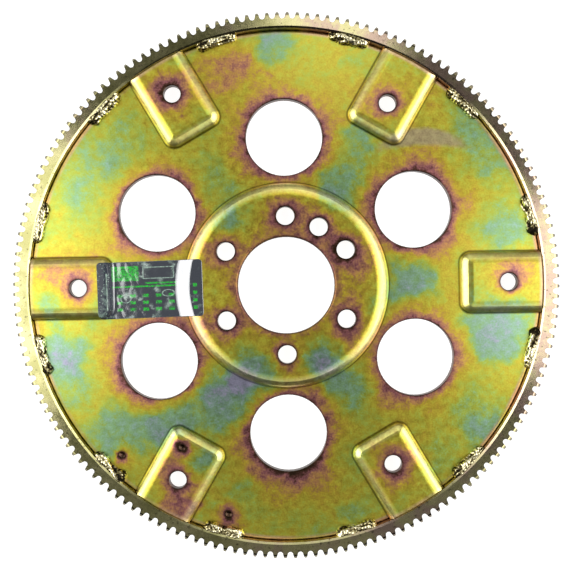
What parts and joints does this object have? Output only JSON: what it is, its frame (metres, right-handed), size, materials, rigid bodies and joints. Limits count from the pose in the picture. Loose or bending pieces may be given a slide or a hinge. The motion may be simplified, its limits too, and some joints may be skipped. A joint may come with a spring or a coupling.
{
  "type": "flexplate",
  "caption": "Round pressed-steel flexplate with a toothed starter ring gear, a raised hub, raised converter pads, lightening holes and a stitch-welded rim.",
  "frame": {"origin": "crankshaft axis at the back face of the hub, which seats against the crankshaft flange", "axes": "+Z along the crankshaft axis towards the torque converter, +X through the middle of one converter pad"},
  "size_m": [0.3598, 0.3598, 0.0112],
  "materials": {
    "plate_plating": "yellow zinc plating with rainbow tints",
    "ring_plating": "yellow zinc plating over machined steel",
    "weld_metal": "plated weld bead, lumpy and bright",
    "sticker_film": "glossy printed film"
  },
  "bodies": {
    "root": {"plate": "plate_plating", "ring_gear": "ring_plating", "sticker": "sticker_film", "weld_bead_01": "weld_metal", "weld_bead_02": "weld_metal", "weld_bead_03": "weld_metal", "weld_bead_04": "weld_metal", "weld_bead_05": "weld_metal", "weld_bead_06": "weld_metal", "weld_bead_07": "weld_metal", "weld_bead_08": "weld_metal", "weld_bead_09": "weld_metal", "weld_bead_10": "weld_metal", "weld_bead_11": "weld_metal", "weld_bead_12": "weld_metal"}
  },
  "joints": []
}
